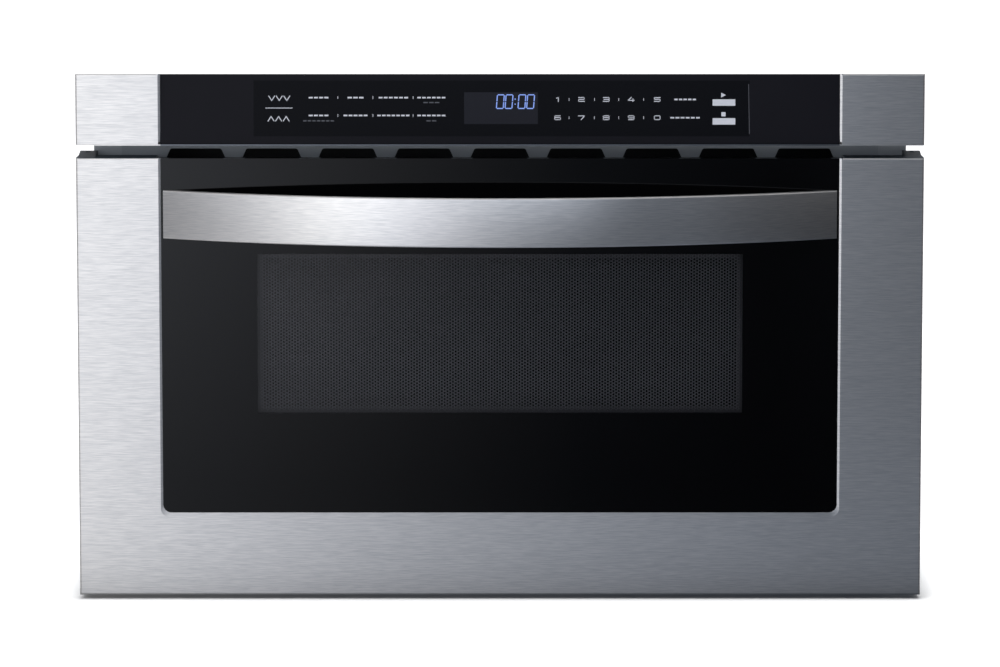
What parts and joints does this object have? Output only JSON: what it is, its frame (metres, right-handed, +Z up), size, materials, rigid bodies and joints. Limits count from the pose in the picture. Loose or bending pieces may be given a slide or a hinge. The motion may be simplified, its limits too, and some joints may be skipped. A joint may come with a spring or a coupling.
{
  "type": "microwave drawer",
  "caption": "Built-in drawer microwave oven: stainless front with black glass and a bowed handle, a bin on ball slides driven by a rack, and the full inner works.",
  "frame": {"origin": "middle of the whole object in X and Y, on the surface that the base stands on", "axes": "+X to the viewer's right, +Y to the back, +Z up; the drawer opens along -Y"},
  "size_m": [0.606, 0.669, 0.3793],
  "materials": {
    "brushed_steel": "fine horizontal brushed stainless steel",
    "dark_trim": "grey painted sheet steel",
    "galvanised": "zinc-coated sheet steel",
    "oven_enamel": "smooth light powder coat",
    "zinc_hardware": "bright zinc plate",
    "black_glass": "polished glass with a black border print",
    "clear_glass": "clear pane",
    "black_plastic": "fine matt moulded",
    "grey_plastic": "fine matt moulded",
    "white_plastic": "fine matt moulded",
    "natural_plastic": "smooth moulded acetal",
    "bin_plastic": "fine matt moulded",
    "glass_ceramic": "satin glass ceramic",
    "circuit_board": "solder-masked board",
    "copper_winding": "varnished enamelled wire",
    "laminated_iron": "varnished electrical steel",
    "aluminium": "plain mill finish",
    "rubber": "smooth moulded"
  },
  "bodies": {
    "chassis": {"base_plate": "galvanised", "chassis_screws": "zinc_hardware", "control_board": "circuit_board", "control_glass": "black_glass", "control_housing": "black_plastic", "control_panel_trim": "brushed_steel", "cord_gland": "rubber", "drive_bracket": "galvanised", "drive_motor": "zinc_hardware", "exhaust_duct": "galvanised", "fan_motor": "laminated_iron", "fan_shroud": "grey_plastic", "front_frame": "dark_trim", "hv_capacitor": "aluminium", "hv_diode": "black_plastic", "interlock_brackets": "galvanised", "interlock_switches": "black_plastic", "magnetron_fins": "aluminium", "magnetron_tube": "galvanised", "magnetron_yoke": "galvanised", "noise_filter": "circuit_board", "oven_cavity": "oven_enamel", "oven_lamp": "white_plastic", "rail_outer_left": "zinc_hardware", "rail_outer_right": "zinc_hardware", "rear_panel": "galvanised", "side_panel_left": "galvanised", "side_panel_right": "galvanised", "stirrer_cover": "white_plastic", "stirrer_motor": "zinc_hardware", "thermal_cutouts": "black_plastic", "top_cover": "galvanised", "transformer_coils": "copper_winding", "transformer_core": "laminated_iron", "vent_grille": "dark_trim", "waveguide": "galvanised"},
    "drawer": {"front_trim": "brushed_steel", "door_glass": "black_glass", "front_carrier": "black_plastic", "choke_panel": "oven_enamel", "choke_cover": "grey_plastic", "door_screen": "dark_trim", "inner_window": "clear_glass", "corner_caps": "grey_plastic", "bin_shell": "bin_plastic", "ceramic_plate": "glass_ceramic", "drawer_screws": "zinc_hardware", "handle_band": "brushed_steel", "handle_brackets": "zinc_hardware", "rail_inner_left": "zinc_hardware", "rail_inner_right": "zinc_hardware", "drive_rack": "natural_plastic", "latch_heads": "white_plastic"},
    "middle_rail_left": {"rail_middle_left": "zinc_hardware"},
    "middle_rail_right": {"rail_middle_right": "zinc_hardware"},
    "pinion": {"drive_pinion": "natural_plastic"},
    "lever_left": {"interlock_lever_left": "natural_plastic"},
    "lever_right": {"interlock_lever_right": "natural_plastic"},
    "fan": {"fan_blade": "black_plastic"},
    "stirrer": {"stirrer_antenna": "aluminium"}
  },
  "joints": [
    {"name": "drawer_slide", "type": "slide", "parent": "chassis", "child": "drawer", "axis": [0, -1, 0], "range_m": [0, 0.38]},
    {"name": "rail_slide_left", "type": "slide", "parent": "chassis", "child": "middle_rail_left", "axis": [0, -1, 0], "range_m": [0, 0.19]},
    {"name": "rail_slide_right", "type": "slide", "parent": "chassis", "child": "middle_rail_right", "axis": [0, -1, 0], "range_m": [0, 0.19]},
    {"name": "drive_pinion_spin", "type": "hinge", "parent": "chassis", "child": "pinion", "pos_m": [0.066, -0.21, 0.028], "axis": [1, 0, 0], "range_deg": [0, 1210.1]},
    {"name": "lever_left_tilt", "type": "hinge", "parent": "chassis", "child": "lever_left", "pos_m": [-0.247, -0.192, 0.222], "axis": [1, 0, 0], "range_deg": [0, 10.2]},
    {"name": "lever_right_tilt", "type": "hinge", "parent": "chassis", "child": "lever_right", "pos_m": [0.247, -0.192, 0.222], "axis": [1, 0, 0], "range_deg": [0, 10.2]},
    {"name": "cooling_fan_spin", "type": "hinge", "parent": "chassis", "child": "fan", "pos_m": [0.18, 0.3103, 0.15], "axis": [0, 1, 0], "continuous": true},
    {"name": "stirrer_spin", "type": "hinge", "parent": "chassis", "child": "stirrer", "pos_m": [0, -0.0285, 0.282], "axis": [0, 0, 1], "continuous": true}
  ],
  "couplings": [
    {"joint": "rail_slide_left", "follows": "drawer_slide", "ratio": 0.5},
    {"joint": "rail_slide_right", "follows": "drawer_slide", "ratio": 0.5},
    {"joint": "drive_pinion_spin", "follows": "drawer_slide", "rad_per_m": 55.556},
    {"joint": "lever_left_tilt", "follows": "drawer_slide", "rad_per_m": 0.4593},
    {"joint": "lever_right_tilt", "follows": "drawer_slide", "rad_per_m": 0.4593}
  ]
}
